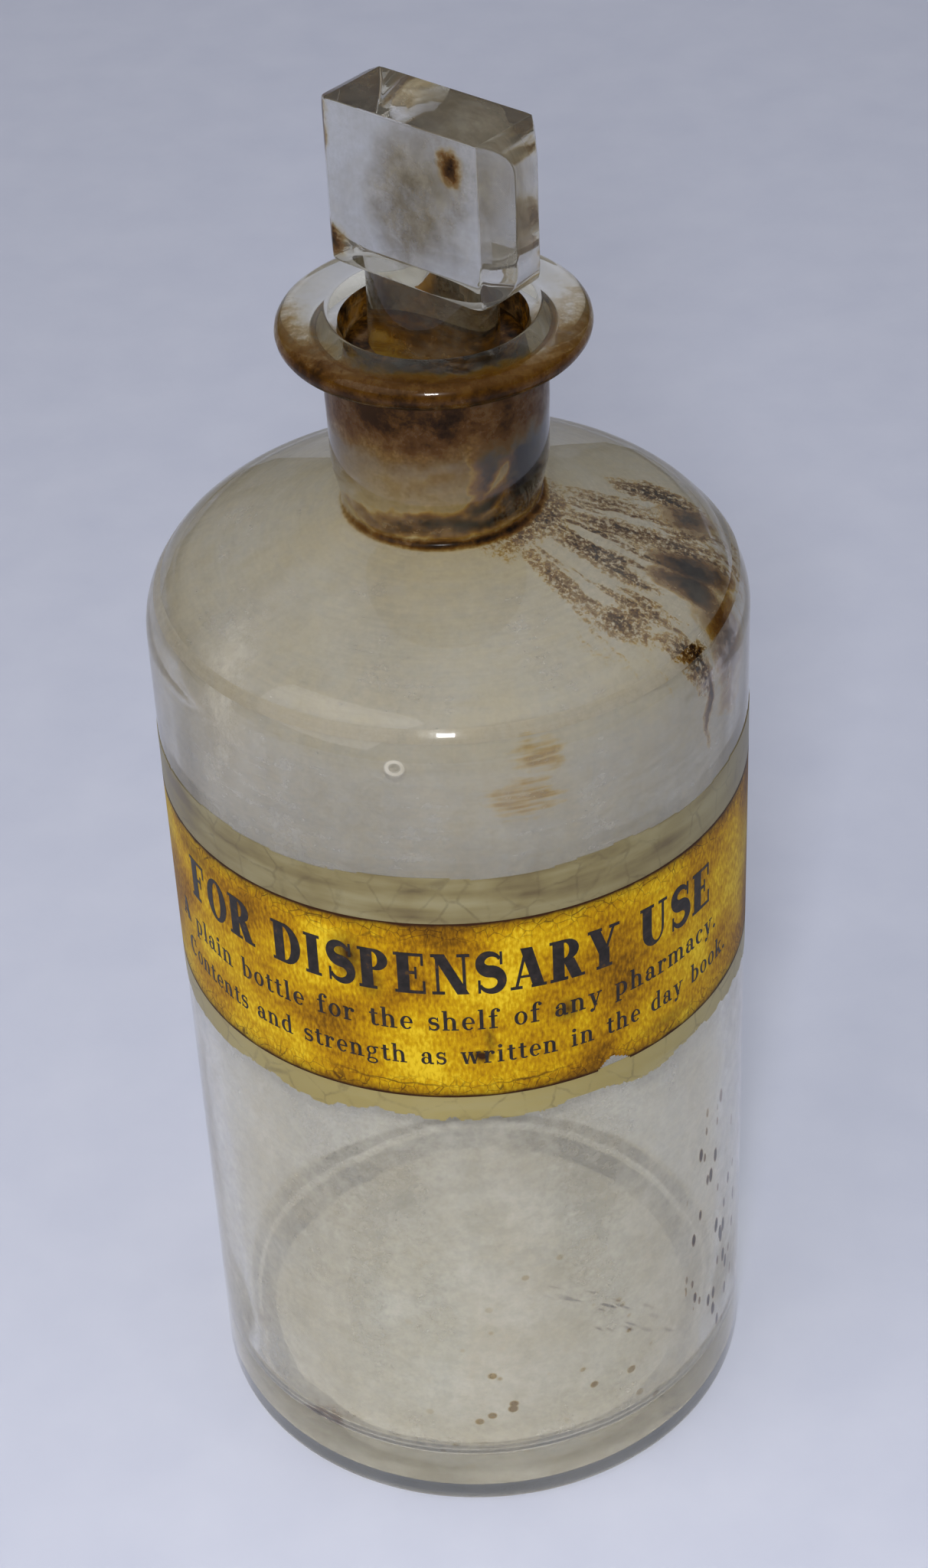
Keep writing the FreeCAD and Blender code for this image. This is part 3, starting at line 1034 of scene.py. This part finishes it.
small_top = 0.66
beak = small_top - small_serif / 2
arch = bowl((0.36, 0.43, 0.237, 0.24), (0.335, 0.43, 0.105, 0.175), 0, 180)
right_bowl = bowl((0.33, 0.33, 0.30, 0.34), (0.31, 0.33, 0.15, 0.28), -130, 130)
tall_post = [post(0.16, 0, 1), tab(0.02, 0.16, 0.97)]
second_leg = [arch, post(0.52, 0, 0.44), tab(0.40, 0.71)]


def short_post(foot_end):
    return [post(0.16, 0, small_top), tab(0.02, 0.16, beak), tab(0.02, foot_end)]


small_letters = {
    "a": (0.62, [post(0.42, 0.05, 0.46), bowl((0.28, 0.46, 0.217, 0.20), (0.26, 0.46, 0.08, 0.14), 0, 150),
                 dot(0.12, 0.47, 0.075), bowl((0.22, 0.19, 0.20, 0.20), (0.26, 0.20, 0.09, 0.14), 0, 360),
                 foot(0.42, 0.60, 0.045, 0.09)]),
    "b": (0.68, tall_post + [right_bowl]),
    "c": (0.58, [bowl((0.30, 0.33, 0.27, 0.34), (0.34, 0.33, 0.15, 0.28), 50, 315), dot(0.45, 0.51, 0.085)]),
    "d": (0.70, [post(0.50, 0, 1), tab(0.36, 0.50, 0.97), tab(0.50, 0.67),
                 bowl((0.32, 0.33, 0.29, 0.34), (0.35, 0.33, 0.15, 0.28), 50, 310)]),
    "e": (0.59, [bowl((0.30, 0.33, 0.27, 0.34), (0.32, 0.33, 0.13, 0.28), 0, 318),
                 foot(0.1, 0.56, 0.34, 0.06)]),
    "f": (0.46, [post(0.20, 0, 0.78), tab(0.03, 0.40), foot(0.03, 0.40, 0.62, 0.07),
                 bowl((0.345, 0.78, 0.2225, 0.23), (0.345, 0.78, 0.07, 0.17), 60, 180),
                 dot(0.44, 0.88, 0.08)]),
    "g": (0.63, [bowl((0.27, 0.44, 0.24, 0.22), (0.27, 0.44, 0.11, 0.17), 0, 360),
                 foot(0.40, 0.60, 0.62, 0.08),
                 bowl((0.29, -0.12, 0.27, 0.17), (0.29, -0.12, 0.17, 0.10), 0, 360),
                 bar(0.12, 0.0, 0.17, 0.27, 0.11)]),
    "h": (0.74, tall_post + [tab(0.02, 0.33)] + second_leg),
    "i": (0.38, [post(0.18, 0, small_top), tab(0.04, 0.18, beak), tab(0.03, 0.34), dot(0.17, 0.86, 0.10)]),
    "k": (0.72, tall_post + [
        tab(0.02, 0.32), bar(0.22, 0.24, 0.50, 0.63, 0.07), bar(0.56, 0, 0.34, 0.40, 0.17),
        tab(0.37, 0.63, beak), tab(0.42, 0.72)]),
    "l": (0.38, [post(0.18, 0, 1), tab(0.04, 0.18, 0.97), tab(0.03, 0.34)]),
    "m": (1.10, short_post(0.32) + [
        arch, post(0.52, 0, 0.44), tab(0.40, 0.66),
        bowl((0.72, 0.43, 0.237, 0.24), (0.695, 0.43, 0.105, 0.175), 0, 180),
        post(0.88, 0, 0.44), tab(0.76, 1.07)]),
    "n": (0.74, short_post(0.33) + second_leg),
    "o": (0.62, [bowl((0.31, 0.33, 0.28, 0.34), (0.31, 0.33, 0.13, 0.28), 0, 360)]),
    "p": (0.70, [post(0.16, -0.28, small_top), tab(0.02, 0.16, beak), tab(0.02, 0.34, -0.25), right_bowl]),
    "r": (0.54, short_post(0.36) + [
        bowl((0.38, 0.42, 0.20, 0.24), (0.38, 0.42, 0.12, 0.17), 70, 180), dot(0.44, 0.54, 0.09)]),
    "s": (0.50, letter_s(0.48, 0.66, 0.06, 0.15, 0.05)),
    "t": (0.44, [post(0.20, 0.12, 0.84), foot(0.03, 0.40, 0.62, 0.07),
                 bowl((0.31, 0.15, 0.1875, 0.16), (0.33, 0.15, 0.055, 0.09), 180, 330)]),
    "w": (0.98, [bar(0.30, 0, 0.14, small_top, 0.15), bar(0.30, 0, 0.46, small_top, 0.06),
                 bar(0.66, 0, 0.48, small_top, 0.15), bar(0.66, 0, 0.84, small_top, 0.06),
                 tab(0.02, 0.28, beak), tab(0.38, 0.60, beak), tab(0.73, 0.95, beak)]),
    "y": (0.68, [bar(0.36, 0, 0.17, small_top, 0.16), bar(0.27, -0.24, 0.55, small_top, 0.065),
                 tab(0.02, 0.31, beak), tab(0.43, 0.67, beak), dot(0.19, -0.19, 0.09)]),
    ".": (0.28, [dot(0.12, 0.09, 0.095)]),
    " ": (0.46, []),
}


def set_line(name, words, ends, base, height, spacing):
    """Ink for a line of type, spread between its ends along the label and standing on its base height at
    each end, in mm. Every stroke lies a hair above the last, so that crossing strokes do not coincide."""
    letters = [{**capitals, **small_letters}[c] for c in words]
    natural = sum(width + spacing for width, strokes in letters)
    stretch = (ends[1] - ends[0]) / natural
    start, corners, faces = ends[0], [], []
    for width, strokes in letters:
        for order, stroke in enumerate(strokes):
            for outline in stroke:
                faces.append(list(range(len(corners), len(corners) + 4)))
                for x, z in outline:
                    along = start + x * stretch
                    level = base[0] + (base[1] - base[0]) * (along - ends[0]) / (ends[1] - ends[0])
                    corners.append((along * MM, order * 0.002 * MM, (level + z * height) * MM))
        start += (width + spacing) * stretch
    mesh = bpy.data.meshes.new(name)
    mesh.from_pydata(corners, [], faces)
    piece = bpy.data.objects.new(name, mesh)
    bpy.context.collection.objects.link(piece)
    pick(piece)
    edit_mode()
    bpy.ops.mesh.select_all(action="SELECT")
    bpy.ops.mesh.remove_doubles(threshold=0.000001)
    if height > 5:
        bpy.ops.mesh.subdivide(number_cuts=3)
    object_mode()
    return piece


def letterpress_ink():
    """Black ink browned by the varnish over it, a little thin where the type printed unevenly."""
    material, tree, shader = new_material("letterpress ink, under old varnish")
    place = add_node(tree, "TexCoord").outputs["Object"]
    thin = add_node(tree, "TexNoise", {"Vector": place, "Scale": 900.0, "Detail": 3.0})
    black = ramp(tree, thin.outputs["Fac"], [(0.35, "#1A1612"), (0.62, "#2A2320"), (0.72, "#4A3415")])
    tree.links.new(black, shader.inputs["Base Color"])
    set_gloss(shader, 0.45, 0.1, 0.2)
    return material


ink = letterpress_ink()
lines = [
    set_line("ink_title", "FOR DISPENSARY USE",
             (-46.0, 40.0), (103.4, 102.2), 7.0, 0.10),
    set_line("ink_line_upper", "A plain bottle for the shelf of any pharmacy.",
             (-51.5, 41.5), (96.4, 96.4), 3.5, 0.08),
    set_line("ink_line_lower", "Contents and strength as written in the day book.",
             (-50.0, 44.5), (90.3, 90.3), 3.3, 0.08),
]
for line in lines:
    wrap(line, paper_rise + paper_thickness / 2 + 0.022)
    thicken(line, 0.02)
    edit_mode()
    bpy.ops.mesh.select_all(action="SELECT")
    bpy.ops.mesh.normals_make_consistent(inside=False)
    object_mode()
    line.data.materials.append(ink)
    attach(line, "bottle_body")


# ---- label varnish ------------------------------------------------------------------------------
# Spirit varnish was brushed over the pasted label and onto the glass round it, to keep damp out. It has
# turned olive brown, it holds dirt, and its lower edge has flaked away in pieces.

varnish_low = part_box("label_varnish")[0][2] / MM
varnish_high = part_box("label_varnish")[1][2] / MM
varnish_length = paper_length + 8.0


def make_varnish():
    coat = flat_sheet("varnish_margin", varnish_length, varnish_low, varnish_high, 520, 170)
    upper, lower, chips = tear(11, 0.35, 9.0), tear(12, 0.9, 7.0), tear(13, 0.8, 2.2)

    def gone(along, up):
        under_paper = paper_low + 0.7 < up < paper_high - 0.7 and abs(along) < paper_length / 2 - 0.5
        flaked = up < varnish_low + 1.6 + lower(along) + max(0.0, chips(along))
        return under_paper or flaked or up > varnish_high - 0.5 + upper(along)

    cut_away(coat, gone)
    lay_map(coat)
    wrap(coat, 0.06)
    thicken(coat, 0.07)
    return coat


def old_varnish():
    """A resin film gone olive brown: streaked along the brush, hazy, and part see-through."""
    material, tree, shader = new_material("spirit varnish, yellowed")
    place = add_node(tree, "UVMap").outputs["UV"]
    brush = streaky(tree, place, (60.0, 420.0, 1.0), 5.0)
    patch = add_node(tree, "TexNoise", {"Vector": place, "Scale": 90.0, "Detail": 6.0})
    blend = add_node(tree, "Mix", {0: 0.5, 2: patch.outputs["Fac"], 3: brush}, data_type="FLOAT")
    olive = ramp(tree, blend.outputs[0], [
        (0.36, "#62532E"), (0.48, "#85784C"), (0.56, "#958A60"), (0.66, "#A59C74")])
    cover = add_node(tree, "MapRange", {
        "Value": blend.outputs[0], "From Min": 0.35, "From Max": 0.65, "To Min": 0.92, "To Max": 0.62})
    height = add_node(tree, "SeparateXYZ", {"Vector": place}).outputs["Y"]
    lower = add_node(tree, "MapRange", {
        "Value": height, "From Min": 0.11, "From Max": 0.09, "To Max": 0.55})
    faded = mixed(tree, lower.outputs[0], olive, "#B8A75E")
    flat = add_node(tree, "Mapping", {"Vector": place, "Scale": (1000.0, 1000.0, 1.0)}).outputs[0]
    dirt = scaled_by(tree, cracks(tree, flat, 5.0), crumbs(tree, 5, 0.0, 0.35))
    tree.links.new(mixed(tree, dirt, faded, "#4A3A1C"), shader.inputs["Base Color"])
    tree.links.new(cover.outputs[0], shader.inputs["Alpha"])
    shader.inputs["Roughness"].default_value = 0.3
    return material


varnish = make_varnish()
varnish.data.materials.append(old_varnish())
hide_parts("label_varnish")
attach(varnish, "bottle_body")
